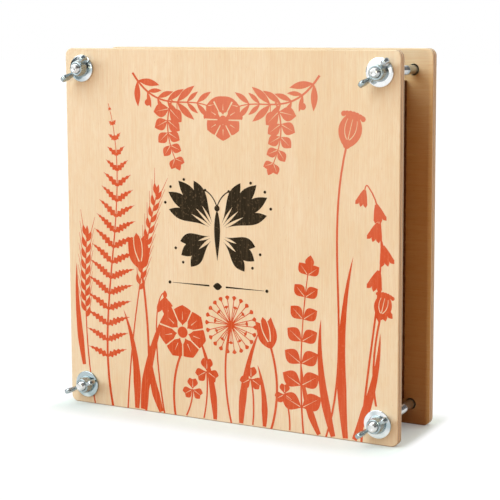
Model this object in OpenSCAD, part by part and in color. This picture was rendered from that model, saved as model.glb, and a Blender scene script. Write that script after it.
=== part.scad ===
// Flower press: two plywood boards, four bolts with wing nuts, and a stack of
// corrugated cards and blotting paper between the boards.
// It stands on the lower edges of the boards: X to the right, Y to the back, Z up.
// The origin lies under the middle of the whole press.

/* [Boards] */
// Width of each board
board_w = 200; // [150:1:300]
// Height of each board
board_h = 200; // [150:1:300]
// Thickness of each board
board_t = 5; // [4.4:0.1:9]
// Radius of the boards' corners
corner_r = 3.9; // [1:0.1:6]

/* [Bolts] */
// Diameter of the bolts
bolt_d = 5; // [4.4:0.1:5.6]
// Distance of each bolt's axis from the board's sides
bolt_inset = 11; // [10:0.5:16]
// Room between a bolt and the wall of its hole in a board
hole_clear = 0.6; // [0.4:0.05:1.2]
// Diameter of the domed head
head_d = 13; // [11.5:0.1:14.5]
// Height of the domed head
head_h = 2.8; // [2.2:0.1:3.2]
// Height of the head's straight rim
head_rim = 0.5; // [0.2:0.1:0.8]
// Width of the square neck under the head
neck_w = 5.4; // [5:0.1:6.4]
// Length of the square neck
neck_l = 3.4; // [2.5:0.1:4]
// How far the bolt's end stands out of the wing nut's hub
bolt_proud = 2.4; // [0.7:0.1:3]
// Chamfer at the bolt's end
bolt_chamfer = 0.6; // [0.3:0.1:0.9]
// Radius of the shallow cup in the bolt's end
cup_r = 1.3; // [0.8:0.1:1.4]
// Depth of the cup
cup_depth = 0.4; // [0.2:0.1:0.6]

/* [Washers] */
// Outer diameter of the washers
washer_d = 14.8; // [13:0.1:17]
// Thickness of the washers
washer_t = 1.2; // [0.8:0.1:1.6]
// Room between a washer and its bolt
washer_clear = 0.25; // [0.15:0.05:0.5]
// Width of the washers' worn edge
washer_edge = 0.25; // [0.1:0.05:0.35]

/* [Wing nuts] */
// Room between a wing nut's thread and the bolt
thread_clear = 0.06; // [0.04:0.01:0.1]
// Room between a wing nut and its washer
seat_clear = 0.05; // [0.02:0.01:0.1]
// Diameter of the hub where it meets the washer
hub_base_d = 9.6; // [8.8:0.1:10.5]
// Height of the hub's straight foot
hub_foot = 0.7; // [0.4:0.1:1]
// Diameter of the hub's top
hub_top_d = 7.7; // [7.2:0.1:8.4]
// Height of the hub
hub_h = 4.9; // [4.5:0.1:5.6]
// Chamfer round the hub's top
hub_chamfer = 0.35; // [0.2:0.05:0.4]
// Height of the whole wing nut
nut_h = 9.1; // [8.6:0.1:10]
// Span over both wings
wing_span = 20.8; // [19:0.1:21.6]
// Thickness of a wing's rounded end
wing_t = 2.9; // [2.4:0.1:3.2]
// Thickness of a wing at the hub
wing_root_t = 2; // [1.6:0.1:2.3]
// Width of a wing's rounded end
wing_pad = 4.9; // [4.4:0.1:5.4]
// Width of a wing where it leaves the hub
wing_root = 3.4; // [2.8:0.1:3.8]
// Lean of a wing, from the washer up
wing_lean = 42; // [35:1:50]
// Angle of the wings of the top left nut, seen from the front
wing_angle_top_left = 42; // [0:1:179]
// Angle of the wings of the top right nut
wing_angle_top_right = 42; // [0:1:179]
// Angle of the wings of the bottom left nut
wing_angle_bottom_left = 23; // [0:1:179]
// Angle of the wings of the bottom right nut
wing_angle_bottom_right = 35; // [0:1:179]

/* [Sheets] */
// Number of corrugated cards
cards = 6; // [3:1:8]
// Number of blotting paper sheets between two cards
blotters = 2; // [1:1:2]
// Thickness of a blotting paper sheet
blotter_t = 0.9; // [0.6:0.1:1.2]
// Height of the flutes inside a card
flute_h = 3.3; // [2.5:0.1:4.5]
// Length of one flute wave
flute_pitch = 7.9; // [6:0.1:9]
// Thickness of a card's liners and of its fluted paper
liner_t = 0.35; // [0.25:0.05:0.5]
// Loose room between each sheet and the next
sheet_clear = 0.35; // [0.3:0.01:0.6]
// Room between the sheets' sides and the bolts
stack_clear = 0.8; // [0.8:0.1:4]
// Room between the sheets' lower edges and the bolts that they rest on
rest_clear = 0.3; // [0.1:0.05:0.5]
// Room between the sheets' upper edges and the upper bolts
top_clear = 3.1; // [0.8:0.1:6]

/* [Hidden] */
$fn = 48;
// Overrun of every cut past the face it opens
cut = 0.5;
// Flat steps in each bend of a wing's outline
bend_steps = 8;
// Flat steps in one flute wave
wave_steps = 8;

card_t = flute_h + 2 * liner_t;
sheet_count = cards + blotters * (cards - 1);
press_gap = cards * card_t + (sheet_count - cards) * blotter_t + (sheet_count + 1) * sheet_clear;
press_depth = head_h + 2 * board_t + press_gap + washer_t + seat_clear + nut_h;

// Faces across the press, from the back to the front
back_outer_y = press_depth / 2 - head_h;
back_inner_y = back_outer_y - board_t;
front_inner_y = back_inner_y - press_gap;
front_outer_y = front_inner_y - board_t;
washer_y = front_outer_y - washer_t;
nut_y = washer_y - seat_clear;

bolt_x = board_w / 2 - bolt_inset;
bolt_top_z = board_h - bolt_inset;
hole_r = bolt_d / 2 + hole_clear;
shank_l = back_outer_y - (nut_y - hub_h) + bolt_proud;

sheet_w = board_w - 2 * (bolt_inset + bolt_d / 2 + stack_clear);
sheet_low_z = bolt_inset + bolt_d / 2 + rest_clear;
sheet_h = bolt_top_z - bolt_d / 2 - top_clear - sheet_low_z;

// Each corner's name, side, axis height and wing angle
CORNERS = [
    ["top_left", -1, bolt_top_z, wing_angle_top_left],
    ["top_right", 1, bolt_top_z, wing_angle_top_right],
    ["bottom_left", -1, bolt_inset, wing_angle_bottom_left],
    ["bottom_right", 1, bolt_inset, wing_angle_bottom_right]
];

// Card number i is followed by its blotters; places count from the front board
function card_place(i) = i * (blotters + 1);
function blotter_place(i) = floor(i / blotters) * (blotters + 1) + i % blotters + 1;
function cards_before(place) = floor((place + blotters) / (blotters + 1));

// Front face of the sheet at a place in the stack
function sheet_y(place) =
    front_inner_y + (place + 1) * sheet_clear
    + cards_before(place) * card_t
    + (place - cards_before(place)) * blotter_t;

// Turns a shape that rises along Z so that it rises to the front
module to_front(y) {
    translate([0, y, 0]) rotate([90, 0, 0]) children();
}

module at_corner(c) {
    translate([c[1] * bolt_x, 0, c[2]]) children();
}

// Outline of a board, standing on the X axis
module board_outline() {
    translate([-board_w / 2 + corner_r, 0]) square([board_w - 2 * corner_r, board_h]);
    translate([-board_w / 2, corner_r]) square([board_w, board_h - 2 * corner_r]);
    for (x = [-1, 1], z = [corner_r, board_h - corner_r])
        translate([x * (board_w / 2 - corner_r), z]) circle(r = corner_r);
}

// Board with its bolt holes, y is its back face
module board(y) {
    to_front(y) difference() {
        linear_extrude(board_t) board_outline();
        for (c = CORNERS)
            translate([c[1] * bolt_x, c[2], -cut]) cylinder(r = hole_r, h = board_t + 2 * cut);
    }
}

// Square neck of a bolt, also the pocket that it is pulled into
module neck(length) {
    translate([-neck_w / 2, -neck_w / 2, 0]) cube([neck_w, neck_w, length]);
}

module back_board() {
    color("burlywood") difference() {
        board(back_outer_y);
        for (c = CORNERS) at_corner(c) to_front(back_outer_y + cut) neck(neck_l + cut);
    }
}

module front_board() {
    color("wheat") board(front_inner_y);
}

// Domed head, its flat underside at zero and its dome below it
module bolt_head() {
    dome_h = head_h - head_rim;
    dome_r = (pow(head_d / 2, 2) + pow(dome_h, 2)) / (2 * dome_h);
    translate([0, 0, -head_rim]) cylinder(d = head_d, h = head_rim);
    intersection() {
        translate([0, 0, dome_r - head_h]) sphere(r = dome_r);
        translate([0, 0, -head_h]) cylinder(d = head_d, h = dome_h);
    }
}

module bolt(c) {
    color("silver") at_corner(c) to_front(back_outer_y) difference() {
        union() {
            bolt_head();
            neck(neck_l);
            cylinder(d = bolt_d, h = shank_l - bolt_chamfer);
            translate([0, 0, shank_l - bolt_chamfer])
                cylinder(d1 = bolt_d, d2 = bolt_d - 2 * bolt_chamfer, h = bolt_chamfer);
        }
        translate([0, 0, shank_l - cup_depth]) cylinder(r1 = 0, r2 = cup_r, h = cup_depth);
    }
}

module washer(c) {
    r_out = washer_d / 2;
    r_in = bolt_d / 2 + washer_clear;
    color("gainsboro") at_corner(c) to_front(front_outer_y) rotate_extrude() polygon([
        [r_in, 0],
        [r_out, 0],
        [r_out, washer_t - washer_edge],
        [r_out - washer_edge, washer_t],
        [r_in + washer_edge, washer_t],
        [r_in, washer_t - washer_edge]
    ]);
}

// Conical hub with its bore, widened at both mouths
module hub() {
    r_bore = bolt_d / 2 + thread_clear;
    rotate_extrude() polygon([
        [r_bore + hub_chamfer, 0],
        [hub_base_d / 2, 0],
        [hub_base_d / 2, hub_foot],
        [hub_top_d / 2, hub_h - hub_chamfer],
        [hub_top_d / 2 - hub_chamfer, hub_h],
        [r_bore + hub_chamfer, hub_h],
        [r_bore, hub_h - hub_chamfer],
        [r_bore, hub_chamfer]
    ]);
}

// Points of a smooth bend from a to c, drawn towards b
function bend(a, b, c) = [
    for (i = [0:bend_steps])
        let (t = i / bend_steps) pow(1 - t, 2) * a + 2 * t * (1 - t) * b + pow(t, 2) * c
];

// Side view of one wing: it leaves the hub's flank and sweeps up to a round pad
module wing_side() {
    pad_r = wing_pad / 2;
    pad = [wing_span / 2 - pad_r, nut_h - pad_r];
    root = [bolt_d / 2 + thread_clear + hub_chamfer, hub_foot];
    low = [hub_base_d / 2, hub_foot];
    high = [hub_top_d / 2, hub_foot + wing_root];
    across = pad_r * [sin(wing_lean), -cos(wing_lean)];
    translate(pad) circle(r = pad_r);
    polygon(concat(
        [root],
        bend(low, [pad[0] + across[0] / 2, low[1] + wing_root / 4], pad + across),
        bend(pad - across, [high[0] + across[0] / 2, high[1] + across[0] / 2], high),
        [[root[0], high[1]]]
    ));
}

// Top view of one wing: thin at the hub, with a full round end
module wing_top() {
    end_x = (wing_span - wing_t) / 2;
    translate([end_x, 0]) circle(d = wing_t);
    polygon([
        [0, -wing_root_t / 2],
        [end_x, -wing_t / 2],
        [end_x, wing_t / 2],
        [0, wing_root_t / 2]
    ]);
}

module wing() {
    intersection() {
        rotate([90, 0, 0]) translate([0, 0, -wing_t]) linear_extrude(2 * wing_t) wing_side();
        linear_extrude(nut_h + cut) wing_top();
    }
}

module wing_nut(c) {
    color("lightgray") at_corner(c) to_front(nut_y) rotate([0, 0, c[3]]) {
        hub();
        wing();
        mirror([1, 0, 0]) wing();
    }
}

// Hollow between two crests of the fluted paper, centred at a height z against the
// front liner, or against the back liner when turned is true
module hollow(z, turned) {
    half_angle = acos(liner_t / flute_h - 1);
    polygon([
        for (i = [0:wave_steps])
            let (angle = half_angle * (2 * i / wave_steps - 1))
            let (x = (card_t - liner_t + flute_h * cos(angle)) / 2)
            [turned ? card_t - x : x, z + angle / 360 * flute_pitch]
    ]);
}

// Card cut across its flutes
module card_section() {
    waves = ceil(sheet_h / flute_pitch / 2);
    difference() {
        square([card_t, sheet_h]);
        for (k = [-waves:waves]) {
            hollow(sheet_h / 2 + k * flute_pitch, false);
            hollow(sheet_h / 2 + (k + 0.5) * flute_pitch, true);
        }
    }
}

module card(i) {
    color("tan") translate([-sheet_w / 2, sheet_y(card_place(i)), sheet_low_z])
        rotate([90, 0, 90]) linear_extrude(sheet_w) card_section();
}

module blotter(i) {
    color("whitesmoke") translate([-sheet_w / 2, sheet_y(blotter_place(i)), sheet_low_z])
        cube([sheet_w, blotter_t, sheet_h]);
}

back_board();
front_board();
for (c = CORNERS) {
    bolt(c);
    washer(c);
    wing_nut(c);
}
for (i = [0:cards - 1])
    card(i);
for (i = [0:sheet_count - cards - 1])
    blotter(i);
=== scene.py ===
"""Looks of the flower press: two plywood boards, the front one printed with line plants, zinc plated
bolts, washers and wing nuts, and the stack of corrugated cards and blotting paper between them.
Shapes are worked out in millimetres and scaled to metres when a piece is made."""
import cmath
import math

import bmesh
import bpy
from mathutils import Matrix, Vector, noise
from mathutils.geometry import delaunay_2d_cdt, tessellate_polygon


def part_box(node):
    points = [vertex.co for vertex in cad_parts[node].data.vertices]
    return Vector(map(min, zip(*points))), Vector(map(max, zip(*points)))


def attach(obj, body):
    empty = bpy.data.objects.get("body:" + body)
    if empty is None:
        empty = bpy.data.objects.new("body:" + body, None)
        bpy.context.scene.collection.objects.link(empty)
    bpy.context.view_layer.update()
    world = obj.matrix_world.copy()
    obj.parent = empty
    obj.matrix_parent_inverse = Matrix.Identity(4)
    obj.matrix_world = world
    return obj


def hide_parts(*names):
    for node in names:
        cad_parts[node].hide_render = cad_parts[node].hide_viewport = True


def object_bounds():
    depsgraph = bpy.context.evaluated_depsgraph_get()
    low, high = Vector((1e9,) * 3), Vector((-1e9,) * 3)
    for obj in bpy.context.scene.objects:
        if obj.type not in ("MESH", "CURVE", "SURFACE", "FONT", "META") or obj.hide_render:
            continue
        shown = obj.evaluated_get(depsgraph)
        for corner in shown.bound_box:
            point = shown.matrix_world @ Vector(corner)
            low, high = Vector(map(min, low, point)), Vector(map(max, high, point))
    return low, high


MM = 0.001
CORNERS = ["top_left", "top_right", "bottom_left", "bottom_right"]

# Boards
CORNER_R = 3.9
HOLE_R = 3.1
BOARD_EASE = 0.55
HOLE_EASE = 0.1
VENEER_T = 1.35
GLUE_HALF_T = 0.25
GLUE_WANDER = 0.16
FACE_SKIN_T = 0.12
# Height of the darker band along the foot of each board
FOOT_DARK_H = 0.5
# Heights in millimetres where the painted shade on the inner faces fades out towards their tops
INNER_SHADE_FADE_Z = (202, 184)
ARC_STEPS = 5
HOLE_POINTS = 48

# Colours of the plywood
# Painted shade: darker, browner tint of the faces that look into the press
INNER_SHADE_TINT = (0.92, 0.75, 0.53)
BIRCH_DARK = (0.82, 0.755, 0.54)
BIRCH_MIDDLE = (0.855, 0.808, 0.595)
BIRCH_PALE = (0.88, 0.842, 0.645)
CORE_DARK = (0.72, 0.57, 0.34)
CORE_PALE = (0.88, 0.74, 0.48)
SIDE_PALE = (0.92, 0.84, 0.58)
GLUE_BROWN = (0.22, 0.12, 0.065)
# Colour of the boards' lowest half millimetre, painted darker
FOOT_DARK_BROWN = (0.36, 0.22, 0.12)

# Bolts
BOLT_R = 2.5
THREAD_PITCH = 0.8
THREAD_DEPTH = 0.43
THREAD_L = 42
THREAD_STEPS = 10
THREAD_ROOT = 1.15
THREAD_SLOPE = 2.6
RIM_ROUND = 0.3
CHAMFER_H = 0.24
END_EASE = 0.15
CUP_R = 1.3
CUP_DEPTH = 0.15
CUP_STEPS = 4
HEAD_RIM = 0.5
DOME_SHARE = 0.97
DOME_STEPS = 12
NECK_W = 5.4
NECK_L = 3.4
NECK_FADE = 0.3
NECK_CORNER = 1.25
RING_POINTS = 64

# Colours of the zinc, also where its passivation is thick, and how much of that blue each washer shows,
# set per corner as a painted reflection
SHANK_ZINC = (0.77, 0.80, 0.80)
WASHER_ZINC = (0.82, 0.835, 0.84)
CAST_ZINC = (0.50, 0.55, 0.57)
ZINC_BLUE = (0.36, 0.45, 0.475)
WASHER_REFLECTION_BLUE = {"top_left": 0.6, "top_right": 0.0, "bottom_left": 0.8, "bottom_right": 0.1}

# Washers
WASHER_CLEAR = 0.25
WASHER_EASE = 0.28
WASHER_CRISP = 0.112
WASHER_DOME = 0.22
DOME_START_R = 3.6
DOME_STEP = 0.8
DOME_RINGS = 5
RIM_POINTS = 96

# Wing nuts
NUT_BORE_R = 2.56
HUB_BASE_R = 4.8
HUB_TOP_R = 3.85
HUB_FOOT = 0.7
HUB_H = 4.9
HUB_EASE = 0.35
HUB_FOOT_EASE = 0.21
WING_SPAN = 20.8
WING_T = 2.9
WING_STEPS = 10
WING_POINTS = 24
WING_ROUNDNESS = (0.6, 0.75)
WING_ROOT_T = 2.0
WING_ROOT_INSET = 0.5
WING_PAD_R = 2.45
PAD_STEPS = 6
PAD_RIM_SHARE = 0.45
PAD_TIP_SHARE = 0.03
WING_ROOT = 3.4
WING_LEAN = math.radians(42)
NUT_TURNS = {"top_left": 42, "top_right": 42, "bottom_left": 23, "bottom_right": 35}
NUT_VOXEL = 0.13
NUT_SMOOTHING = 8

# Sheets
LINER_T = 0.35
LINER_DIP = 0.1
LINER_STEPS = 6
FLUTE_PITCH = 7.9
FLUTE_STEPS = 14
FLUTE_SQUEEZE = 0.06
FLUTE_SHIFT = 0.5
FLUTE_LEAST = 1.0
CARD_MARGIN = 0.4
CUT_ROUGHNESS = 0.35
BLOTTER_CORNER_R = 1.5
BLOTTER_EASE = 0.22
BLOTTER_WANDER = 0.8

# Print
INK_PROUD = 0.04
INK_SUNK = 0.05
INK_FOOT = 0.35
# Where the ink's painted sheen, paler towards the top right, rises in X and in Z
SHEEN_INK_X = (-75, 25)
SHEEN_INK_Z = (90, 165)
RED_INK = {"dark": (0.615, 0.088, 0.024), "pale": (0.655, 0.116, 0.046),
           "painted_sheen": (0.70, 0.235, 0.145), "worn": (0.80, 0.36, 0.17), "specks": 0.15}
DARK_INK = {"dark": (0.016, 0.012, 0.004), "pale": (0.024, 0.018, 0.007),
            "painted_sheen": (0.024, 0.018, 0.007), "worn": (0.15, 0.11, 0.06), "specks": 0.5}
LEAST_HALF_WIDTH = 0.02
DISC_POINTS = 20
LOBE_DEPTH = 0.26
ORNAMENT_AT = -4 + 103j
ORNAMENT_SIZE = 36
DIVIDER_AT = -4 + 74j
DIVIDER_W = 56

# Floor and room, in metres; a lobe has a direction, the cosines where it starts and is full, and a colour
FLOOR_REACH = 6.0
FLOOR_COLOUR = (0.67, 0.80, 0.79)
FLOOR_BOUNCE = (0.34, 0.15, 0.055)
FLOOR_GLOW = 0.17
ROOM_DIM = (0.25, 0.05, 0.004)
BACKDROP_SPREAD = (0.35, 0.75)
ROOM_LOBES = [
    ((-0.75, -0.35, 0.75), 0.42, 0.85, (0.72, 0.73, 0.745)),
    ((0.3, 1, 0.3), 0.3, 0.7, (1.28, 1.2, 1.1)),
    ((0.4, 0.7, 1), 0.82, 0.95, (2.0, 1.92, 1.8)),
]
METAL_DIM = (0.055, 0.075, 0.09)
METAL_LOBES = [
    ((-0.415, -0.90, 0.11), 0.970, 0.983, (1.7, 1.7, 1.7)),
    ((-0.3, -0.25, 1), 0.75, 0.92, (1.2, 1.2, 1.2)),
]

# How far the floor keeps the shadow past the press along each axis, in millimetres
SHADOW_REACH = (7, 22, 1)

# Lamps, each with its place and size in metres, its power in watts and its colour
LAMP_TARGET = (0, 0, 0.1)
LAMPS = {
    "key": ((-1.7, -2.2, 2.1), 3.3, 108, (1, 1, 1)),
    "front": ((0.173, -1.6, 0.25), 0.06, 3.8, (1, 0.86, 0.62)),
}

# Camera, fitted to the photograph: focal length and horizon row in pixels, angles in degrees
PHOTO_SIZE = 500
FOCAL_PX = 1423.2
CENTRE_ROW = 194.7
CAMERA_AT = (366.0, -670.1, 213.5)
CAMERA_YAW = 28.33
CAMERA_PITCH = -6.89
CAMERA_ROLL = 0.25
SENSOR_W = 36

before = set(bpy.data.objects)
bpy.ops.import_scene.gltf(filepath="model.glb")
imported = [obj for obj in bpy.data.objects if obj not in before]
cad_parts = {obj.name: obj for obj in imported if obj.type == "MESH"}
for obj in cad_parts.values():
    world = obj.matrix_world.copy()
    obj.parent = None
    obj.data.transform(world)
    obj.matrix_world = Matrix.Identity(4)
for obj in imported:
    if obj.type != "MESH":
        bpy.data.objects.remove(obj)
cad_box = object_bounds()


def box_mm(node):
    """Lowest and highest corner of a CAD node in millimetres."""
    low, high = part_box(node)
    return low / MM, high / MM


def axis_of(corner):
    """Point on a corner's bolt axis, at the washer's middle, in millimetres."""
    low, high = box_mm(f"washer_{corner}")
    return (low + high) / 2


# Small helpers for meshes

def skin(rings, ends=False):
    """Vertices and faces of a skin over closed rings of equal length, also over its ends if wanted."""
    count = len(rings[0])
    vertices = [point for ring in rings for point in ring]
    faces = []
    for i in range(len(rings) - 1):
        for j in range(count):
            k = (j + 1) % count
            faces.append((i * count + j, i * count + k, (i + 1) * count + k, (i + 1) * count + j))
    if ends:
        faces += [tuple(range(count)), tuple(range(len(vertices) - count, len(vertices)))]
    return vertices, faces


def join(parts):
    """One list of vertices and one of faces from several of each."""
    vertices, faces = [], []
    for part_vertices, part_faces in parts:
        faces += [tuple(len(vertices) + i for i in face) for face in part_faces]
        vertices += part_vertices
    return vertices, faces


def mend(mesh, weld=0.0, drop_loose=False):
    """Welds points that are closer than weld, drops loose points and turns all faces outwards."""
    shell = bmesh.new()
    shell.from_mesh(mesh)
    if weld:
        bmesh.ops.remove_doubles(shell, verts=shell.verts, dist=weld)
    if drop_loose:
        bmesh.ops.delete(shell, geom=[v for v in shell.verts if not v.link_faces], context="VERTS")
    bmesh.ops.recalc_face_normals(shell, faces=shell.faces)
    shell.to_mesh(mesh)
    shell.free()


def make_mesh(name, vertices, faces, flat=()):
    """Mesh in metres from millimetres, smooth but for the faces whose numbers are in flat."""
    mesh = bpy.data.meshes.new(name)
    mesh.from_pydata([tuple(MM * c for c in v) for v in vertices], [], faces)
    mesh.shade_smooth()
    for number in flat:
        mesh.polygons[number].use_smooth = False
    mend(mesh)
    return mesh


def add_object(name, data):
    made = bpy.data.objects.new(name, data)
    bpy.context.scene.collection.objects.link(made)
    return made


def add_piece(name, mesh, material, body, stands_for=()):
    """Piece that rides on a body and takes the place of CAD nodes."""
    piece = add_object(name, mesh)
    mesh.materials.append(material)
    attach(piece, body)
    if stands_for:
        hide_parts(*stands_for)


def add_turned(kind, corner, suffix, rings, y, material, body):
    """Piece of the hardware on a corner's axis, whose rings rise to the front from y."""
    at = axis_of(corner)
    vertices, faces = skin(rings)
    name = f"{kind}_{corner}_{suffix}"
    mesh = make_mesh(name, placed(vertices, to_front(y, at.x, at.z)), faces)
    add_piece(name, mesh, material, body, [f"{kind}_{corner}"])


def to_front(y, x=0, z=0, turn=0):
    """Turns a shape that rises along Z so that it rises to the front, from the point x, y, z."""
    tilt = Matrix.Rotation(math.pi / 2, 4, "X")
    return Matrix.Translation((x, y, z)) @ tilt @ Matrix.Rotation(turn, 4, "Z")


def placed(vertices, matrix):
    return [matrix @ Vector(v) for v in vertices]


def arc(centre, radius, start, end, steps):
    """Points of an arc, with its angles in degrees."""
    angles = [math.radians(start + (end - start) * i / steps) for i in range(steps + 1)]
    return [(centre[0] + radius * math.cos(a), centre[1] + radius * math.sin(a)) for a in angles]


def circle(radius, count, centre=(0, 0)):
    return arc(centre, radius, 0, 360, count)[:-1]


def lathe(profile, count=RING_POINTS):
    """Rings of a turned shape from its (radius, height) profile."""
    return [[(x, y, height) for x, y in circle(max(radius, 1e-4), count)] for radius, height in profile]


def bend_through(controls, share):
    """Point on the curve that leaves its first control, ends at its last and is drawn to the others."""
    level = list(controls)
    while len(level) > 1:
        level = [a + (b - a) * share for a, b in zip(level, level[1:])]
    return level[0]


# Small helpers for materials

def fill(tree, node, inputs):
    """Links or sets a node's inputs; colours come without their alpha."""
    for key, value in inputs.items():
        socket = node.inputs[key]
        if isinstance(value, bpy.types.NodeSocket):
            tree.links.new(value, socket)
        else:
            socket.default_value = (*value, 1) if socket.type == "RGBA" else value


def add_node(tree, kind, inputs=None, **settings):
    """Shader node with its settings, and its inputs linked or set."""
    made = tree.nodes.new(kind)
    for key, value in settings.items():
        setattr(made, key, value)
    fill(tree, made, inputs or {})
    return made


def math_node(tree, operation, a, b=0.0, clamp=False):
    return add_node(tree, "ShaderNodeMath", {0: a, 1: b}, operation=operation, use_clamp=clamp).outputs[0]


def vector_node(tree, operation, a, b=(0, 0, 0)):
    made = add_node(tree, "ShaderNodeVectorMath", {0: a, 1: b}, operation=operation)
    return made.outputs["Value" if operation in ("LENGTH", "DOT_PRODUCT") else "Vector"]


def split(tree, vector):
    """The parts of a vector, by axis."""
    return add_node(tree, "ShaderNodeSeparateXYZ", {0: vector}).outputs


def rise(tree, value, start, full, shape="SMOOTHSTEP"):
    """Share that is 0 at start and 1 at full."""
    return add_node(tree, "ShaderNodeMapRange", {"Value": value, "From Min": start, "From Max": full},
                    interpolation_type=shape).outputs["Result"]


def ramp(tree, value, stops):
    """Colour ramp from (position, colour) stops; a bare number is a grey."""
    made = add_node(tree, "ShaderNodeValToRGB", {"Fac": value})
    elements = made.color_ramp.elements
    while len(elements) < len(stops):
        elements.new(0.5)
    for element, (position, colour) in zip(elements, stops):
        element.position = position
        element.color = (*colour, 1) if isinstance(colour, tuple) else (colour, colour, colour, 1)
    return made.outputs["Color"]


def mix(tree, share, a, b, blend="MIX"):
    made = add_node(tree, "ShaderNodeMix", data_type="RGBA", blend_type=blend)
    fill(tree, made, {0: share, 6: a, 7: b})
    return made.outputs[2]


def blend_in(tree, colour, value, start, full, share, other):
    """Mixes another colour in, up to a share, where a value goes from start to full."""
    return mix(tree, ramp(tree, value, sorted([(start, 0.0), (full, share)])), colour, other)


def millimetres(tree, scale=(1, 1, 1)):
    """The piece's own coordinates in millimetres, times a scale along each axis."""
    own = add_node(tree, "ShaderNodeTexCoord").outputs["Object"]
    return vector_node(tree, "MULTIPLY", own, [part / MM for part in scale])


def noise_node(tree, scale, detail=3.0, roughness=0.5, distortion=0.0):
    """Noise in millimetres, scaled by one number or by one along each axis."""
    scale = scale if isinstance(scale, tuple) else (scale, scale, scale)
    return add_node(tree, "ShaderNodeTexNoise", {
        "Vector": millimetres(tree, scale), "Scale": 1.0, "Detail": detail,
        "Roughness": roughness, "Distortion": distortion}).outputs["Fac"]


def new_material(name):
    """Material with its tree and its Principled shader."""
    material = bpy.data.materials.new(name)
    material.use_nodes = True
    return material, material.node_tree, material.node_tree.nodes["Principled BSDF"]


def finish_material(tree, shader, colour, roughness, height, bump, distance, metallic=0.0, gloss=0.5):
    """Fills in a shader; height is a bump with a strength and a distance in millimetres."""
    normal = add_node(tree, "ShaderNodeBump", {
        "Height": height, "Strength": bump, "Distance": distance * MM}).outputs["Normal"]
    fill(tree, shader, {"Base Color": colour, "Roughness": roughness, "Metallic": metallic,
                        "Specular IOR Level": gloss, "Normal": normal})


# Materials

def grain_noise(tree, grain, across, along, detail=3, roughness=0.6, distortion=0.0):
    """Noise of wood whose grain runs along X or Z."""
    scale = (along, across, across) if grain == "X" else (across, across, along)
    return noise_node(tree, scale, detail, roughness, distortion)


def birch_face(tree, grain, fibre, fine):
    """Colour of a birch veneer: a pale figure with clouds, fibres and flecks along its grain."""
    figure = grain_noise(tree, grain, 0.045, 0.012, detail=2, roughness=0.5, distortion=0.8)
    cloud = noise_node(tree, 0.02, detail=1)
    mottle = grain_noise(tree, grain, 0.30, 0.16)
    fleck = grain_noise(tree, grain, 3.0, 0.35, detail=1, roughness=0.4)
    face = ramp(tree, figure, [(0.32, BIRCH_DARK), (0.52, BIRCH_MIDDLE), (0.7, BIRCH_PALE)])
    face = blend_in(tree, face, cloud, 0.4, 0.65, 0.4, (0.89, 0.862, 0.68))
    face = blend_in(tree, face, mottle, 0.42, 0.68, 0.34, (0.82, 0.71, 0.46))
    face = blend_in(tree, face, fibre, 0.6, 0.35, 0.26, (0.74, 0.52, 0.28))
    face = blend_in(tree, face, fine, 0.6, 0.38, 0.2, (0.62, 0.42, 0.21))
    return blend_in(tree, face, fleck, 0.255, 0.225, 0.4, (0.42, 0.25, 0.12))


def birch(name, grain, node, inner_side):
    """Birch plywood with three layers and dark glue lines on its edges. The face that looks into the
    press, at high or low Y, has painted shade, darker and browner but for its top, and the lower
    edge is darker."""
    material, tree, shader = new_material(name)
    low, high = box_mm(node)
    centre_y = (low.y + high.y) / 2
    half_core = (high.y - low.y) / 2 - VENEER_T
    place = split(tree, millimetres(tree))
    fibre = grain_noise(tree, grain, 1.5, 0.03)
    fine = grain_noise(tree, grain, 6.0, 0.15, detail=2)
    streaks = grain_noise(tree, "Z" if grain == "X" else "X", 3.0, 0.12)
    core = ramp(tree, streaks, [(0.3, CORE_DARK), (0.7, CORE_PALE)])
    face = birch_face(tree, grain, fibre, fine)
    side = mix(tree, 0.3, face, SIDE_PALE)

    inner_half = "GREATER_THAN" if inner_side == "high" else "LESS_THAN"
    is_inner = math_node(tree, inner_half, place["Y"], centre_y)
    # Painted shade: the faces that look into the press are darker and browner but for their tops
    painted_inner_shade = math_node(tree, "MULTIPLY", rise(tree, place["Z"], *INNER_SHADE_FADE_Z, "LINEAR"), is_inner)
    face = mix(tree, painted_inner_shade, face, mix(tree, 1.0, face, INNER_SHADE_TINT, "MULTIPLY"))

    wander = math_node(tree, "MULTIPLY", noise_node(tree, 0.1, detail=1), GLUE_WANDER)
    depth = math_node(tree, "ADD", place["Y"], wander)
    past_middle = math_node(tree, "SUBTRACT", depth, centre_y + GLUE_WANDER / 2)
    from_middle = math_node(tree, "ABSOLUTE", past_middle)
    is_side = math_node(tree, "LESS_THAN", from_middle, half_core + VENEER_T - FACE_SKIN_T)
    is_core = math_node(tree, "LESS_THAN", from_middle, half_core)
    from_glue = math_node(tree, "ABSOLUTE", math_node(tree, "SUBTRACT", from_middle, half_core))
    is_glue = math_node(tree, "LESS_THAN", from_glue, GLUE_HALF_T)
    is_foot = math_node(tree, "LESS_THAN", place["Z"], low.z + FOOT_DARK_H)

    colour = mix(tree, is_side, face, side)
    colour = mix(tree, is_core, colour, core)
    colour = mix(tree, is_glue, colour, GLUE_BROWN)
    # The lowest half millimetre of each board is painted darker
    colour = mix(tree, math_node(tree, "MULTIPLY", is_foot, 0.6), colour, FOOT_DARK_BROWN)
    roughness = ramp(tree, fibre, [(0.3, 0.52), (0.7, 0.42)])
    finish_material(tree, shader, colour, roughness, fine, 0.25, 0.05, gloss=0.15)
    return material


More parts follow.
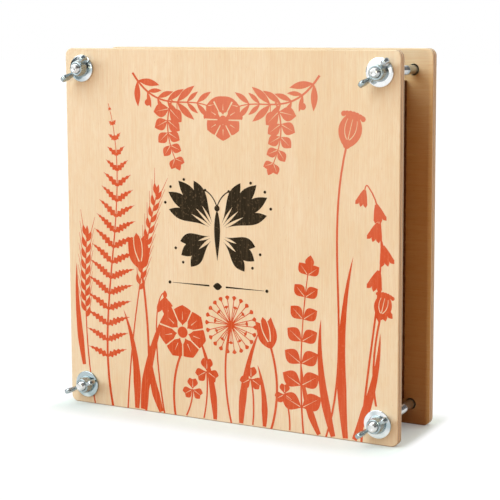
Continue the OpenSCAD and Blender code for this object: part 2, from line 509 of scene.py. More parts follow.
def ink(name, dark, pale, painted_sheen, worn, specks):
    """Screen printing ink that lets a little of the upright grain through, with small pale specks,
    and that has a painted sheen, paler towards the top right."""
    material, tree, shader = new_material(name)
    fibre = grain_noise(tree, "Z", 2.2, 0.05, roughness=0.65)
    patch = noise_node(tree, 0.02, detail=2)
    speck = noise_node(tree, 0.9, detail=1)
    place = split(tree, millimetres(tree))
    right, top = rise(tree, place["X"], *SHEEN_INK_X), rise(tree, place["Z"], *SHEEN_INK_Z)
    colour = blend_in(tree, dark, patch, 0.35, 0.7, 1.0, pale)
    # Painted sheen: the ink turns paler towards the top right
    colour = mix(tree, math_node(tree, "MULTIPLY", right, top), colour, painted_sheen)
    colour = blend_in(tree, colour, fibre, 0.5, 0.72, 0.30, worn)
    colour = blend_in(tree, colour, speck, 0.60, 0.72, specks, worn)
    roughness = ramp(tree, fibre, [(0.3, 0.62), (0.7, 0.5)])
    finish_material(tree, shader, colour, roughness, fibre, 0.12, 0.04, gloss=0.1)
    return material


def zinc(name, colour, roughness, marks=1.4, blue=0.5, metallic=1.0, dull_from=None):
    """Bright zinc plate: faint clouds in its colour, tumbling or drawing marks, blue passivation on a
    share of it, and on most of it beyond a place along Y if one is given; on the washers that share
    is a painted reflection, set per corner."""
    material, tree, shader = new_material(name)
    cloud = noise_node(tree, 0.35, detail=3)
    scuff = noise_node(tree, marks, detail=3, roughness=0.5)
    passivation = noise_node(tree, 0.11, detail=1)
    tint = ramp(tree, cloud, [(0.3, tuple(0.92 * c for c in colour)), (0.6, colour)])
    tint = blend_in(tree, tint, passivation, 0.4 + 0.4 * blue, 0.2 + 0.4 * blue, 0.85, ZINC_BLUE)
    if dull_from is not None:
        is_dull = math_node(tree, "GREATER_THAN", split(tree, millimetres(tree))["Y"], dull_from)
        tint = mix(tree, math_node(tree, "MULTIPLY", is_dull, 0.7), tint, ZINC_BLUE)
    shine = ramp(tree, scuff, [(0.3, roughness * 0.8), (0.7, roughness * 1.3)])
    finish_material(tree, shader, tint, shine, scuff, 0.12, 0.04, metallic)
    return material


def kraft():
    """Brown cardboard with fibres and darker specks, painted much darker than kraft as painted shade."""
    material, tree, shader = new_material("kraft_card")
    fibre = noise_node(tree, (0.5, 2.5, 2.5), detail=5, roughness=0.7)
    speck = noise_node(tree, 1.6, detail=2)
    # Painted shade: the card's browns are far darker than kraft, for the shade between the boards
    colour = ramp(tree, fibre, [(0.3, (0.15, 0.078, 0.034)), (0.7, (0.30, 0.175, 0.085))])
    colour = blend_in(tree, colour, speck, 0.36, 0.28, 0.7, (0.08, 0.04, 0.018))
    finish_material(tree, shader, colour, 0.93, fibre, 0.6, 0.12)
    return material


def blotting():
    """Soft blotting paper with a felt surface, painted buff, darker than off-white, as painted shade."""
    material, tree, shader = new_material("blotting_paper_painted_shade")
    felt = noise_node(tree, 1.8, detail=6, roughness=0.75)
    cloud = noise_node(tree, 0.06, detail=2)
    # Painted shade: browner and darker than off-white paper, for the shade between the boards
    colour = ramp(tree, felt, [(0.3, (0.50, 0.43, 0.32)), (0.7, (0.68, 0.60, 0.47))])
    colour = blend_in(tree, colour, cloud, 0.4, 0.7, 0.3, (0.60, 0.49, 0.34))
    finish_material(tree, shader, colour, 0.97, felt, 0.5, 0.15)
    return material


# Boards

def rounded_rectangle(low, high, radius, steps=10):
    """Outline of a rectangle with round corners, counter-clockwise."""
    points = []
    for x, y, start in ((1, 0, -90), (1, 1, 0), (0, 1, 90), (0, 0, 180)):
        centre = (high[0] - radius if x else low[0] + radius, high[1] - radius if y else low[1] + radius)
        points += arc(centre, radius, start, start + 90, steps)
    return points


def plate(name, low, high, corner_r, ease, holes=(), hole_r=0.0, hole_ease=0.0):
    """Plate that fills a box, with round corners in X and Z, eased edges and holes."""
    turns = [math.pi / 2 * i / ARC_STEPS for i in range(ARC_STEPS + 1)]
    heights = [(1 - math.sin(turn), 1 - math.cos(turn)) for turn in turns]
    thickness = high.y - low.y

    def rings_of(outline_at, amount):
        rear = [(outline_at(amount * inset), amount * lift) for inset, lift in heights]
        front = [(outline_at(amount * inset), thickness - amount * lift) for inset, lift in heights[::-1]]
        return [[(px, pz, h) for px, pz in outline] for outline, h in rear + front]

    def board_outline(inset):
        return rounded_rectangle((low.x + inset, low.z + inset), (high.x - inset, high.z - inset),
                                 max(corner_r - inset, 0.05))

    sets = [rings_of(board_outline, ease)]
    for centre in holes:
        sets.append(rings_of(lambda inset, c=centre: circle(hole_r + inset, HOLE_POINTS, c), hole_ease))
    vertices, faces = join([skin(rings) for rings in sets])
    rear_loops, front_loops = [], []
    end = 0
    for rings in sets:
        count = len(rings[0])
        rear_loops.append(range(end, end + count))
        end += len(rings) * count
        front_loops.append(range(end - count, end))
    flat = []
    for loops in (rear_loops, front_loops):
        order = [i for loop in loops for i in loop]
        cap = tessellate_polygon([[Vector(vertices[i]) for i in loop] for loop in loops])
        flat += range(len(faces), len(faces) + len(cap))
        faces += [tuple(order[i] for i in triangle) for triangle in cap]
    return make_mesh(name, placed(vertices, to_front(high.y)), faces, flat)


def add_boards():
    holes = [(axis_of(corner).x, axis_of(corner).z) for corner in CORNERS]
    for node, grain, inner_side in (("front_board", "Z", "high"), ("back_board", "X", "low")):
        name = f"{node}_plywood"
        mesh = plate(name, *box_mm(node), CORNER_R, BOARD_EASE, holes, HOLE_R, HOLE_EASE)
        add_piece(name, mesh, birch(f"birch_{node}", grain, node, inner_side), node, [node])


# Print. Its points are complex numbers in millimetres on the front face, x to the right and y up.

def along(controls, share):
    """Point on such a curve and the direction of the curve there."""
    near = min(share, 1 - 1e-3)
    step = bend_through(controls, near + 1e-3) - bend_through(controls, near)
    return bend_through(controls, share), step / abs(step)


def polar(length, degrees):
    return cmath.rect(length, math.radians(degrees))


class Print:
    """Outlines that are inked, and outlines that are left bare inside them."""

    def __init__(self):
        self.inked = []
        self.bare = []

    def ribbon(self, controls, half_width, steps=20, bare=False):
        """Outline round a curve; half_width gives half its width at a share of its length."""
        left, right = [], []
        for i in range(steps + 1):
            share = i / steps
            point, ahead = along(controls, share)
            side = 1j * ahead * max(half_width(share), LEAST_HALF_WIDTH)
            left.append(point + side)
            right.append(point - side)
        (self.bare if bare else self.inked).append(right + left[::-1])

    def stem(self, controls, width=1.0, tip=None, bare=False):
        tip = width if tip is None else tip
        self.ribbon(controls, lambda share: (width + (tip - width) * share) / 2, 22, bare)

    def leaf(self, base, tip, width, bow=0.0, fullest=0.45, lobes=0, vein=0.0):
        """Leaf or petal, bowed to one side, with lobes and a bare vein if wanted."""
        controls = [base, (base + tip) / 2 + 1j * (tip - base) * bow, tip]
        power = math.log(0.5) / math.log(fullest)
        deep = LOBE_DEPTH if lobes else 0

        def half_width(share):
            swell = width / 2 * math.sin(math.pi * share ** power)
            return swell * (1 - deep + deep * math.cos(2 * math.pi * lobes * share))

        self.ribbon(controls, half_width, 6 * lobes if lobes else 14)
        if vein:
            middle = [bend_through(controls, share) for share in (0.08, 0.45, 0.82)]
            self.stem(middle, vein, 0.05, bare=True)

    def disc(self, centre, radius):
        turns = [360 * i / DISC_POINTS for i in range(DISC_POINTS)]
        self.inked.append([centre + polar(radius, turn) for turn in turns])


def fern(art, controls, reach, pairs):
    art.stem(controls, 1.5, 0.3)
    for i in range(pairs):
        share = 0.16 + 0.82 * i / (pairs - 1)
        point, ahead = along(controls, share)
        size = reach * math.sin(math.pi * (0.30 + 0.68 * i / (pairs - 1)))
        for side in (1, -1):
            tip = point + ahead * polar(size, side * (74 - 30 * share))
            art.leaf(point, tip, 2.4 + size * 0.13, -0.06 * side, 0.3, lobes=max(3, round(size / 2.6)))


def grass(art, base, tip, width, bow):
    controls = [base, base + (tip - base) * 0.55 + 1j * (tip - base) * bow, tip]
    art.ribbon(controls,
               lambda share: width / 2 * (1 - share) ** 0.75 * (0.45 + 0.55 * min(1, share * 4)))


def tulip(art, controls, size):
    art.stem(controls, 1.3)
    top, up = along(controls, 1)
    base = top - up * size * 0.04
    for side in (1, -1):
        art.leaf(base, base + up * polar(size, 17 * side), size * 0.5, -0.10 * side, 0.42)
        fold = [base + up * polar(size * far, turn * side)
                for far, turn in ((0.24, 8), (0.62, 17), (0.93, 6))]
        art.stem(fold, 0.75, 0.5, bare=True)
    art.leaf(base, base + up * size * 1.03, size * 0.46, 0, 0.55)


def seed_pod(art, controls, size):
    """Poppy head: ribbed pod under a scalloped crown."""
    art.stem(controls, 1.1)
    foot, up = along(controls, 1)
    art.disc(foot + up * size * 0.03, size * 0.13)
    art.ribbon([foot, foot + up * size],
               lambda share: size * 0.4 * math.sin(math.pi * min(1, share * 0.86 + 0.06)) ** 0.62, 22)
    for offset in (-0.5, 0, 0.5):
        rib = [foot + up * polar(size * far, turn * offset)
               for far, turn in ((0.2, 24), (0.52, 62), (0.86, 22))]
        art.stem(rib, 0.5, 0.3, bare=True)
    top, across = foot + up * size, 1j * up * size
    for k in range(-3, 4):
        art.disc(top + up * size * (0.03 - k * k * 0.008) + across * k * 0.115, size * 0.085)
    art.stem([top - across * 0.36, top + up * size * 0.01, top + across * 0.36], size * 0.10)


def wheat(art, controls, rows, grain):
    art.stem(controls, 0.9, 0.6)
    for i in range(rows):
        point, ahead = along(controls, 0.58 + 0.42 * i / (rows - 1))
        for side in (1, -1):
            start = point + ahead * grain * 0.22 * side
            tip = start + ahead * polar(grain, 24 * side)
            art.leaf(start, tip, grain * 0.38, 0.12 * side, 0.42)
            art.stem([tip - ahead * 0.4, tip + ahead * polar(grain * 1.2, 14 * side)], 0.4, 0.16)
    point, ahead = along(controls, 1)
    art.leaf(point, point + ahead * grain * 1.1, grain * 0.36, 0, 0.45)


def bell(art, top, heading, size):
    """Bellflower that hangs from its stalk along a heading."""
    def half_width(share):
        return size * (0.10 + 0.25 * math.sin(math.pi * 0.62 * share) + 0.16 * share ** 4)

    art.ribbon([top, top + heading * size], half_width, 14)
    for turn, aside in ((-38, -0.24), (0, 0), (38, 0.24)):
        lip = top + heading * size * (0.96 + 1j * aside)
        tip = lip + heading * polar(size * 0.30, turn)
        art.leaf(lip - heading * size * 0.1, tip, size * 0.30, 0, 0.4)


def bluebell(art, controls, count, size):
    art.stem(controls, 1.3, 0.7)
    for i in range(count):
        point, ahead = along(controls, 0.50 + 0.5 * i / (count - 1))
        swing = -1j * polar(1, 16 * (-1) ** i)
        stalk = point + (ahead + swing * 2) * size * 0.16
        art.stem([point, point + ahead * size * 0.22, stalk], 0.7)
        bell(art, stalk, swing, size * (1.0 - 0.05 * i))


def eucalyptus(art, controls, pairs, size):
    art.stem(controls, 1.0, 0.5)
    for i in range(pairs):
        share = 0.16 + 0.80 * i / (pairs - 1)
        point, ahead = along(controls, share)
        length = size * (1 - 0.45 * share)
        for side in (1, -1):
            tip = point + ahead * polar(length, (66 - 20 * share) * side)
            art.leaf(point, tip, length * 0.74, 0, 0.54, vein=0.45)
    point, ahead = along(controls, 1)
    art.leaf(point - ahead * 0.5, point + ahead * size * 0.5, size * 0.36, 0, 0.5)


def seed_clock(art, controls, radius):
    """Dandelion clock: a ball of rays that end in small tufts."""
    art.stem(controls, 1.1)
    centre, _ = along(controls, 1)
    art.disc(centre, radius * 0.15)
    for i in range(22):
        for reach, turn in ((radius, 0), (radius * 0.66, 8.2))[:1 if i % 2 else 2]:
            ray = polar(reach, 360 / 22 * i + turn)
            art.stem([centre, centre + ray * 0.9], 0.42)
            art.leaf(centre + ray * 0.80, centre + ray * 1.06, radius * 0.17, 0, 0.76)


def anemone(art, centre, radius, petals=7):
    """Open flower with round petals about a round eye."""
    for i in range(petals):
        way = polar(1, 360 / petals * i + 90)
        art.leaf(centre + way * radius * 0.24, centre + way * radius, radius * 0.84, 0, 0.6)
        between = way * polar(1, 180 / petals) * radius
        art.stem([centre + between * 0.3, centre + between], 0.55, 0.9, bare=True)
        art.stem([centre + way * radius * 0.46, centre + way * radius * 0.76], 0.5, 0.1, bare=True)
    art.disc(centre, radius * 0.21)


def trefoil(art, base, top, size):
    art.stem([base, (base + top) / 2 + 2, top], 0.9)
    for turn in (90, 210, 330):
        for side in (1, -1):
            art.leaf(top, top + polar(size, turn + 17 * side), size * 0.62, 0, 0.66)
        art.stem([top + polar(size * 0.2, turn), top + polar(size * 0.8, turn)], 0.45, 0.15, bare=True)


def snowdrop(art, controls, size):
    art.stem(controls, 1.0, 0.6)
    top, _ = along(controls, 1)
    art.leaf(top + size * 0.1j, top - size * 0.34j, size * 0.24, 0, 0.5)
    for turn in (-27, 0, 27):
        art.leaf(top - size * 0.18j, top - 1j * polar(size, turn) - size * 0.18j, size * 0.36, 0, 0.62)


def olive_branch(art, controls, count, size):
    art.stem(controls, 1.2, 0.5)
    for i in range(count):
        share = 0.06 + 0.92 * i / (count - 1)
        point, ahead = along(controls, share)
        length = size * (1 - 0.12 * ((i * 3) % 4))
        for side in (1, -1):
            art.leaf(point, point + ahead * polar(length, 40 * side), length * 0.27, 0.05 * side, 0.5)
        if i % 3 == 1:
            drop = point - 1j * size * 0.42
            art.stem([point, drop], 0.5)
            art.disc(drop, size * 0.13)


def plants(art):
    """Layout of the meadow round the face's edge, with a garland along the top."""
    fern(art, [-72, -84 + 60j, -56 + 116j, -72 + 170j], 17, 17)
    wheat(art, [-84, -92 + 40j, -88 + 94j], 8, 7)
    tulip(art, [-50, -45 + 36j, -52 + 80j], 20)
    wheat(art, [-62, -58 + 60j, -42 + 120j], 9, 6.6)
    grass(art, -52 + 1j, -35 + 60j, 7, 0.10)
    grass(art, -56 + 1j, -64 + 56j, 6, -0.12)
    grass(art, -91 + 22j, -95 + 80j, 5, 0.05)

    seed_pod(art, [60, 76 + 50j, 58 + 100j, 71 + 152j], 16)
    seed_pod(art, [88 + 20j, 84 + 40j, 90 + 66j], 12)
    bluebell(art, [80, 82 + 50j, 100 + 112j, 83 + 132j], 6, 9.5)
    eucalyptus(art, [47, 43 + 44j, 50 + 88j], 7, 14)
    grass(art, 76 + 1j, 90 + 58j, 6, -0.10)
    grass(art, 71 + 1j, 75 + 96j, 6.5, 0.09)
    grass(art, 64 + 1j, 57 + 62j, 6, 0.10)

    anemone(art, -26 + 47j, 15)
    seed_clock(art, [4, -3 + 30j, 4 + 54j], 15)
    tulip(art, [28, 35 + 22j, 28 + 44j], 17)
    snowdrop(art, [-38, -44 + 30j, -45 + 66j, -37 + 68j], 11)
    art.stem([-31, -34 + 20j, -27 + 35j], 1.3)
    for base, top, size in ((-13, -11 + 27j, 7.5), (17, 16 + 26j, 7), (-24, -20 + 16j, 6.5),
                            (39, 36 + 20j, 6)):
        trefoil(art, base + 1j, top, size)
    for base, tip, width, bow in ((-40, -47 + 38j, 6, 0.12), (-6, -16 + 46j, 5, -0.1),
                                  (10, 21 + 52j, 5.5, 0.1), (24, 20 + 34j, 4.5, -0.1),
                                  (56, 46 + 36j, 5, 0.12)):
        grass(art, base + 1j, tip, width, bow)

    for side in (1, -1):
        branch = [complex(side * x, z) for x, z in ((56, 187), (38, 161), (20, 179), (3, 167))]
        olive_branch(art, branch, 9, 14)
        eucalyptus(art, [complex(side * x, z) for x, z in ((31, 173), (38, 158), (29, 140))], 5, 11)
    anemone(art, 163j, 11, 6)


def butterfly(art, centre, size):
    """Dark ornament in the middle: a butterfly whose wings are cells between bare veins."""
    art.leaf(centre + size * 0.34j, centre - size * 0.42j, size * 0.10, 0, 0.4)
    art.disc(centre + size * 0.36j, size * 0.045)
    cells = [(63, 0.12, 0.80, 0.17), (48, 0.10, 0.94, 0.20), (33, 0.10, 0.96, 0.20),
             (18, 0.12, 0.84, 0.17), (-12, 0.10, 0.62, 0.17), (-30, 0.10, 0.68, 0.20),
             (-50, 0.12, 0.66, 0.18)]
    for side in (1, -1):
        def mirrored(z):
            return centre + (z.real * side + 1j * z.imag) * size

        art.stem([mirrored(0.38j), mirrored(0.06 + 0.55j), mirrored(0.20 + 0.62j)], size * 0.018)
        art.disc(mirrored(0.20 + 0.62j), size * 0.022)
        for turn, start, reach, width in cells:
            way = polar(1, turn)
            root = 0.03 + 0.04j if turn > 0 else 0.03 - 0.04j
            tip = mirrored(root + way * reach)
            art.leaf(mirrored(root + way * start), tip, size * width, 0.04 * side, 0.68)
        for turn, reach in ((55, 0.93), (40, 1.0), (25, 0.95), (-22, 0.74), (-41, 0.74)):
            art.disc(mirrored(0.03 + polar(reach, turn)), size * 0.022)


def divider(art, centre, width):
    """Plain rule with a diamond in its middle."""
    for side in (1, -1):
        art.stem([centre + side * width * 0.09, centre + side * width / 2], 0.9, 0.2)
        art.disc(centre + side * width * 0.53, 0.9)
    art.leaf(centre - width * 0.05, centre + width * 0.05, width * 0.07, 0, 0.5)


def print_mesh(name, art, face_y):
    """Thin closed film of ink that stands a little proud of the face and reaches a little into it."""
    points, loops = [], []
    for outline in art.inked + art.bare:
        area = sum((a.conjugate() * b).imag for a, b in zip(outline, outline[1:] + outline[:1]))
        outline = outline if area > 0 else outline[::-1]
        loops.append([len(points) + i for i in range(len(outline))])
        points += [Vector((p.real, max(p.imag, INK_FOOT))) for p in outline]
    found, _, triangles, _, _, sources = delaunay_2d_cdt(points, [], loops, 1, 1e-4)
    kept = [t for t, source in zip(triangles, sources) if source and max(source) < len(art.inked)]
    edges = dict.fromkeys((a, b) for t in kept for a, b in zip(t, t[1:] + t[:1]))
    count = len(found)
    front, rear = face_y - INK_PROUD, face_y + INK_SUNK
    vertices = [(p.x, front, p.y) for p in found] + [(p.x, rear, p.y) for p in found]
    faces = [tuple(t) for t in kept] + [tuple(count + i for i in reversed(t)) for t in kept]
    faces += [(a, count + a, count + b, b) for a, b in edges if (b, a) not in edges]
    mesh = make_mesh(name, vertices, faces, range(len(faces)))
    mend(mesh, drop_loose=True)
    return mesh


def add_print():
    face_y = box_mm("front_board")[0].y
    meadow, ornament = Print(), Print()
    plants(meadow)
    butterfly(ornament, ORNAMENT_AT, ORNAMENT_SIZE)
    divider(ornament, DIVIDER_AT, DIVIDER_W)
    red, dark = ink("red_ink", **RED_INK), ink("dark_ink", **DARK_INK)
    for name, art, material in (("meadow_print", meadow, red), ("ornament_print", ornament, dark)):
        add_piece(name, print_mesh(name, art, face_y), material, "front_board")


# Hardware

def add_bolt(corner, material):
    """Coach bolt: domed head, square neck, plain shank, cut thread and a cupped end."""
    low, high = box_mm(f"bolt_{corner}")
    seat_y = box_mm("back_board")[1].y
    head_r = (high.x - low.x) / 2
    dome_h = high.y - seat_y - HEAD_RIM
    length = seat_y - low.y
    dome_r = (head_r ** 2 + dome_h ** 2) / (2 * dome_h)
    dome_angle = math.degrees(math.asin(head_r / dome_r))
    dome_end = -90 + dome_angle * DOME_SHARE
    dome = arc((0, dome_r - dome_h - HEAD_RIM), dome_r, -90, dome_end, DOME_STEPS)
    rim = arc((head_r - RIM_ROUND, -RIM_ROUND), RIM_ROUND, -60, 90, 5)
    plain_end = length - THREAD_L - THREAD_PITCH / 2
    rings = lathe(dome + rim) + [neck_ring(0), neck_ring(NECK_L * 0.8)]
    rings += lathe([(BOLT_R, h) for h in (NECK_L + NECK_FADE, NECK_L + 2 * NECK_FADE, plain_end)])
    rings += thread_rings(length - THREAD_L, length - CHAMFER_H)
    end_r = BOLT_R - THREAD_DEPTH
    rings += lathe([(end_r, length - CHAMFER_H / 2), (end_r - END_EASE, length), (CUP_R, length)])
    shares = [1 - i / CUP_STEPS for i in range(1, CUP_STEPS + 1)]
    rings += lathe([(CUP_R * share, length - CUP_DEPTH * (1 - share ** 2)) for share in shares])
    add_turned("bolt", corner, "coach", rings, seat_y, material, "back_board")


def neck_ring(height):
    """Ring of the square neck, with round corners."""
    half = NECK_W / 2
    ring = []
    for x, y in circle(1, RING_POINTS):
        reach = min(half / max(abs(x), abs(y)), half * NECK_CORNER)
        ring.append((x * reach, y * reach, height))
    return ring


def thread_rings(start, end):
    """Rings of a right-hand thread that fades in at its start and under the chamfer at its end."""
    rings = []
    steps = round((end - start) / THREAD_PITCH * THREAD_STEPS)
    for i in range(steps + 1):
        height = start + (end - start) * i / steps
        fade_in = min(1, (height - start) / THREAD_PITCH)
        crest_r = min(BOLT_R, BOLT_R - THREAD_DEPTH + max(0, end - height))
        ring = []
        for j, (x, y) in enumerate(circle(1, RING_POINTS)):
            phase = (height / THREAD_PITCH - j / RING_POINTS) % 1
            cut = THREAD_DEPTH * min(1, max(0, THREAD_ROOT - abs(phase - 0.5) * THREAD_SLOPE)) * fade_in
            radius = min(BOLT_R - cut, crest_r)
            ring.append((x * radius, y * radius, height))
        rings.append(ring)
    return rings


def add_washer(corner, material):
    """Large flat washer: its punched edge is round on one side and sharper on the other."""
    low, high = box_mm(f"washer_{corner}")
    outer_r = (high.x - low.x) / 2
    inner_r = BOLT_R + WASHER_CLEAR
    thick = high.y - low.y
    soft, crisp = WASHER_EASE, WASHER_CRISP
    dome = [DOME_START_R + DOME_STEP * i for i in range(DOME_RINGS)]
    profile = arc((inner_r + soft, thick - soft), soft, 180, 90, 4)
    profile += [(r, thick - WASHER_DOME * (r / outer_r) ** 2) for r in dome]
    profile += arc((outer_r - soft, thick - WASHER_DOME - soft), soft, 88, 0, 4)
    profile += arc((outer_r - crisp, crisp), crisp, 0, -90, 3)
    profile += arc((inner_r + crisp, crisp), crisp, -90, -180, 3)
    rings = lathe(profile + profile[:1], RIM_POINTS)
    add_turned("washer", corner, "plated", rings, high.y, material, "front_board")


def wing_rings(span, height):
    """Rings of one wing, from inside the hub out to its round pad."""
    pad = Vector((span / 2 - WING_PAD_R, height - WING_PAD_R))
    across = WING_PAD_R * Vector((math.sin(WING_LEAN), -math.cos(WING_LEAN)))
    outwards = Vector((math.cos(WING_LEAN), math.sin(WING_LEAN)))
    low = Vector((HUB_BASE_R, HUB_FOOT))
    high = Vector((HUB_TOP_R, HUB_FOOT + WING_ROOT))
    bend_low = Vector((pad.x + across.x / 2, low.y + WING_ROOT / 4))
    bend_high = Vector((high.x + across.x / 2, high.y + across.x / 2))
    root_x = NUT_BORE_R + WING_ROOT_INSET
    sections = [(Vector((root_x, low.y)), Vector((root_x, high.y)), WING_ROOT_T)]
    for i in range(WING_STEPS + 1):
        share = i / WING_STEPS
        below = bend_through([low, bend_low, pad + across], share)
        above = bend_through([high, bend_high, pad - across], share)
        swell = share * share * (3 - 2 * share)
        sections.append((below, above, WING_ROOT_T + (WING_T - WING_ROOT_T) * swell))
    for i in range(1, PAD_STEPS + 1):
        angle = math.pi / 2 * i / PAD_STEPS
        centre = pad + outwards * WING_PAD_R * math.sin(angle)
        reach = across * max(math.cos(angle), PAD_TIP_SHARE)
        thick = WING_T * (PAD_RIM_SHARE + (1 - PAD_RIM_SHARE) * math.cos(angle))
        sections.append((centre + reach, centre - reach, thick))
    rings = []
    for below, above, thick in sections:
        middle, half = (below + above) / 2, (above - below) / 2
        ring = []
        for x, y in circle(1, WING_POINTS):
            flat_x = math.copysign(abs(x) ** WING_ROUNDNESS[0], x)
            flat_y = math.copysign(abs(y) ** WING_ROUNDNESS[1], y)
            point = middle + half * flat_x
            ring.append((point.x, flat_y * thick / 2, point.y))
        rings.append(ring)
    return rings


def nut_mesh(span, height):
    """Cast wing nut in millimetres, its hub and wings grown into one with soft fillets."""
    foot, top = HUB_FOOT_EASE, HUB_EASE
    hub = arc((HUB_BASE_R - foot, foot), foot, -90, 0, 3)
    hub += [(HUB_BASE_R, HUB_FOOT)]
    hub += arc((HUB_TOP_R - top, HUB_H - top), top, 8, 90, 4)
    hub += arc((NUT_BORE_R + top, HUB_H - top), top, 90, 180, 4)
    hub += arc((NUT_BORE_R + foot, foot), foot, 180, 270, 3)
    parts = [skin(lathe(hub + hub[:1], RIM_POINTS))]
    wing_vertices, wing_faces = skin(wing_rings(span, height), ends=True)
    parts.append((wing_vertices, wing_faces))
    parts.append(([(-x, -y, z) for x, y, z in wing_vertices], wing_faces))
    vertices, faces = join(parts)
    rough = bpy.data.meshes.new("nut_rough")
    rough.from_pydata(vertices, [], faces)
    mend(rough, weld=1e-4)
    carrier = add_object("nut_rough", rough)
    remesh = carrier.modifiers.new("grow", "REMESH")
    remesh.mode = "VOXEL"
    remesh.voxel_size = NUT_VOXEL
    smooth = carrier.modifiers.new("smooth", "SMOOTH")
    smooth.iterations = NUT_SMOOTHING
    smooth.factor = 0.5
    evaluated = carrier.evaluated_get(bpy.context.evaluated_depsgraph_get())
    grown = bpy.data.meshes.new_from_object(evaluated)
    bpy.data.objects.remove(carrier)
    bpy.data.meshes.remove(rough)
    return grown


def add_wing_nuts(material):
    low, high = box_mm("wing_nut_top_left")
    grown = nut_mesh(WING_SPAN, high.y - low.y)
    for corner in CORNERS:
        at = axis_of(corner)
        seat_y = box_mm(f"wing_nut_{corner}")[1].y
        mesh = grown.copy()
        turn = math.radians(NUT_TURNS[corner])
        mesh.transform(Matrix.Scale(MM, 4) @ to_front(seat_y, at.x, at.z, turn))
        mesh.shade_smooth()
        name = f"wing_nut_{corner}_cast"
        add_piece(name, mesh, material, f"wing_nut_{corner}", [f"wing_nut_{corner}"])


def add_hardware():
    shank = zinc("zinc_bolt", SHANK_ZINC, 0.13, marks=(5, 0.3, 5), blue=0.2, metallic=0.8,
                 dull_from=box_mm("bolt_top_left")[0].y + THREAD_L)
    cast = zinc("zinc_wing_nut", CAST_ZINC, 0.24, blue=0.85, metallic=0.85)
    for corner in CORNERS:
        add_bolt(corner, shank)
        # Each washer's share of blue is set per corner as a painted reflection
        plated = zinc(f"zinc_washer_{corner}", WASHER_ZINC, 0.10, blue=WASHER_REFLECTION_BLUE[corner])
        add_washer(corner, plated)
    add_wing_nuts(cast)


# Sheets

def jitter(x, y, seed, size):
    """Smooth random value up to about size, the same each run."""
    return noise.noise(Vector((x, y, seed * 7.3))) * size


def hollow_outline(centre, card_t, turned, seed):
    """Outline of the hollow under one flute of a card, in (depth, height)."""
    flute_h = card_t - 2 * LINER_T
    half_angle = math.degrees(math.acos(LINER_T / flute_h - 1))
    squeeze = 1 - abs(jitter(centre * 0.21, 0, seed, FLUTE_SQUEEZE))
    shift = jitter(centre * 0.03, 5, seed, FLUTE_SHIFT)
    points = []
    for i in range(FLUTE_STEPS + 1):
        angle = half_angle * (2 * i / FLUTE_STEPS - 1)
        depth = (card_t - LINER_T + flute_h * math.cos(math.radians(angle))) / 2
        height = centre + shift + angle / 360 * FLUTE_PITCH * squeeze
        points.append((card_t - depth if turned else depth, height))
    return points


def card_loops(card_t, side, seed):
    """Outlines of a card's cut end, in (depth, height): the dented liners, then each flute's hollow."""
    middle = side / 2
    steps = round(side / FLUTE_PITCH * LINER_STEPS)
    heights = [side * i / steps for i in range(steps + 1)]

    def dip(h, phase):
        return LINER_DIP * (0.5 - 0.5 * math.cos(2 * math.pi * ((h - middle) / FLUTE_PITCH + phase)))

    loops = [[(dip(h, 0.0), h) for h in heights] + [(card_t - dip(h, 0.5), h) for h in heights[::-1]]]
    waves = math.ceil(side / FLUTE_PITCH / 2)
    for k in range(-2 * waves, 2 * waves + 2):
        outline = hollow_outline(middle + k * FLUTE_PITCH / 2, card_t, k % 2, seed)
        outline = [(d, min(max(h, CARD_MARGIN), side - CARD_MARGIN)) for d, h in outline]
        if max(h for d, h in outline) - min(h for d, h in outline) > FLUTE_LEAST:
            loops.append(outline)
    return loops


def add_card(node, material, seed):
    """Corrugated card: open flutes along X, liners that dip between the flutes, and rough cut ends."""
    low, high = box_mm(node)
    loops = card_loops(high.y - low.y, high.z - low.z, seed)
    end_points = [point for loop in loops for point in loop]
    far = len(end_points)
    cap = tessellate_polygon([[Vector((d, h, 0)) for d, h in loop] for loop in loops])
    vertices, faces, flat = [], [], []
    for end, (x, inwards) in enumerate(((low.x, 1), (high.x, -1))):
        for d, h in end_points:
            rough = abs(jitter(h * 0.6, d * 0.9, seed + 20 * end, CUT_ROUGHNESS)) + LINER_T * 0.1
            vertices.append((x + inwards * rough, low.y + d, low.z + h))
        flat += range(len(faces), len(faces) + len(cap))
        faces += [tuple(end * far + i for i in triangle) for triangle in cap]
    start = 0
    for loop in loops:
        ring = [start + i for i in range(len(loop))]
        faces += [(a, b, far + b, far + a) for a, b in zip(ring, ring[1:] + ring[:1])]
        start += len(loop)
    name = f"{node}_corrugated"
    add_piece(name, make_mesh(name, vertices, faces, flat), material, node, [node])


def add_blotter(node, material, seed):
    """Blotting paper: a soft-edged sheet whose cut edges wander a little."""
    low, high = box_mm(node)
    middle_z = (low.z + high.z) / 2
    name = f"{node}_paper"
    mesh = plate(name, low, high, BLOTTER_CORNER_R, (high.y - low.y) * BLOTTER_EASE)
    for vertex in mesh.vertices:
        x, z = vertex.co.x / MM, vertex.co.z / MM
        wander_x = abs(jitter(z * 0.05, x * 0.05, seed, BLOTTER_WANDER))
        wander_z = abs(jitter(x * 0.05, z * 0.05, seed + 9, BLOTTER_WANDER))
        vertex.co.x -= math.copysign(wander_x * MM, x)
        vertex.co.z -= math.copysign(wander_z * MM, z - middle_z)
    add_piece(name, mesh, material, node, [node])


def add_sheets():
    brown, buff = kraft(), blotting()
    for seed, node in enumerate(sorted(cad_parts)):
        if node.startswith("card_"):
            add_card(node, brown, seed)
        elif node.startswith("blotter_"):
            add_blotter(node, buff, seed)


# Stage, light and camera

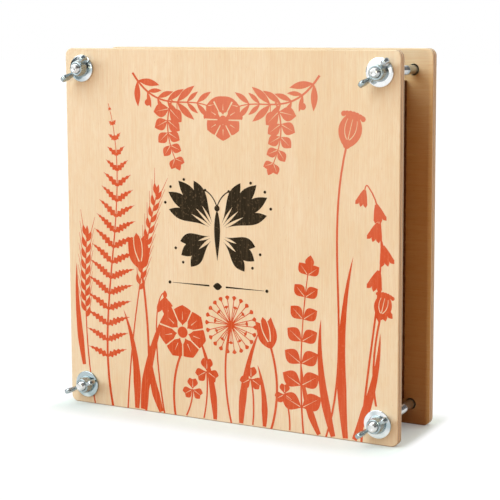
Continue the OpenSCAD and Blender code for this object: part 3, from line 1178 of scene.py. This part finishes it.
def add_stage(floor_z):
    """White floor: it keeps the shadow near the press and is plain white further off."""
    mesh = bpy.data.meshes.new("floor")
    signs = ((-1, -1), (1, -1), (1, 1), (-1, 1))
    mesh.from_pydata([(FLOOR_REACH * x, FLOOR_REACH * y, floor_z) for x, y in signs], [], [(0, 1, 2, 3)])
    floor = add_object("floor", mesh)
    material, tree, shader = new_material("white_floor")
    outwards = vector_node(tree, "ABSOLUTE", millimetres(tree))
    past = vector_node(tree, "MAXIMUM", vector_node(tree, "SUBTRACT", outwards, cad_box[1] / MM))
    past = vector_node(tree, "DIVIDE", past, SHADOW_REACH)
    far = rise(tree, vector_node(tree, "LENGTH", past), 0, 1)
    glow = add_node(tree, "ShaderNodeMapRange", {"Value": far, "To Min": FLOOR_GLOW}).outputs["Result"]
    near_colour = mix(tree, far, FLOOR_COLOUR, (0, 0, 0))
    path = add_node(tree, "ShaderNodeLightPath")
    seen = math_node(tree, "ADD", path.outputs["Is Camera Ray"], path.outputs["Is Glossy Ray"])
    seen = math_node(tree, "ADD", seen, path.outputs["Is Transmission Ray"], clamp=True)
    fill(tree, shader, {
        "Base Color": mix(tree, seen, FLOOR_BOUNCE, near_colour), "Roughness": 0.8,
        "Emission Color": (1, 1, 1), "Emission Strength": math_node(tree, "MULTIPLY", seen, glow)})
    mesh.materials.append(material)


def lit_by(tree, direction, dim, lobes):
    """Colour of a room that is dim but for bright lobes."""
    colour = dim
    for towards, start, full, bright in lobes:
        facing = vector_node(tree, "DOT_PRODUCT", direction, Vector(towards).normalized())
        colour = mix(tree, rise(tree, facing, start, full), colour, bright)
    return colour


def add_world():
    """Studio room that is bright overhead, to the left and behind the press, and dim at the front right.
    The camera sees it as white, and metal sees its dim side as a cool grey."""
    world = bpy.data.worlds.new("studio")
    bpy.context.scene.world = world
    world.use_nodes = True
    tree = world.node_tree
    direction = add_node(tree, "ShaderNodeTexCoord").outputs["Generated"]
    path = add_node(tree, "ShaderNodeLightPath")
    glossy = path.outputs["Is Glossy Ray"]
    room = mix(tree, glossy, lit_by(tree, direction, ROOM_DIM, ROOM_LOBES),
               lit_by(tree, direction, METAL_DIM, METAL_LOBES))
    behind = rise(tree, split(tree, direction)["Y"], *BACKDROP_SPREAD)
    mirrored = math_node(tree, "MULTIPLY", glossy, behind)
    seen = math_node(tree, "ADD", path.outputs["Is Camera Ray"], path.outputs["Is Transmission Ray"])
    seen = math_node(tree, "ADD", seen, mirrored, clamp=True)
    fill(tree, tree.nodes["Background"], {"Color": mix(tree, seen, room, (1, 1, 1))})


def add_lamp(name, at, size, power, colour):
    """Square lamp that faces the press."""
    light = bpy.data.lights.new(name, "AREA")
    light.shape = "SQUARE"
    light.size = size
    light.energy = power
    light.color = colour
    lamp = add_object(name, light)
    lamp.location = at
    lamp.rotation_euler = (Vector(LAMP_TARGET) - Vector(at)).to_track_quat("-Z", "Y").to_euler()


def add_camera():
    data = bpy.data.cameras.new("camera")
    data.sensor_width = SENSOR_W
    data.lens = SENSOR_W * FOCAL_PX / PHOTO_SIZE
    data.shift_y = (CENTRE_ROW - PHOTO_SIZE / 2) / PHOTO_SIZE
    data.clip_start = 0.01
    camera = add_object("camera", data)
    view = Matrix.Translation(Vector(CAMERA_AT) * MM)
    for degrees, axis in ((CAMERA_YAW, "Z"), (CAMERA_PITCH, "X"), (CAMERA_ROLL, "Y"), (90, "X")):
        view = view @ Matrix.Rotation(math.radians(degrees), 4, axis)
    camera.matrix_world = view
    bpy.context.scene.camera = camera


add_boards()
add_print()
add_hardware()
add_sheets()
add_stage(cad_box[0].z)
add_world()
for lamp_name, settings in LAMPS.items():
    add_lamp(lamp_name, *settings)
add_camera()
bpy.context.scene.view_settings.view_transform = "Standard"
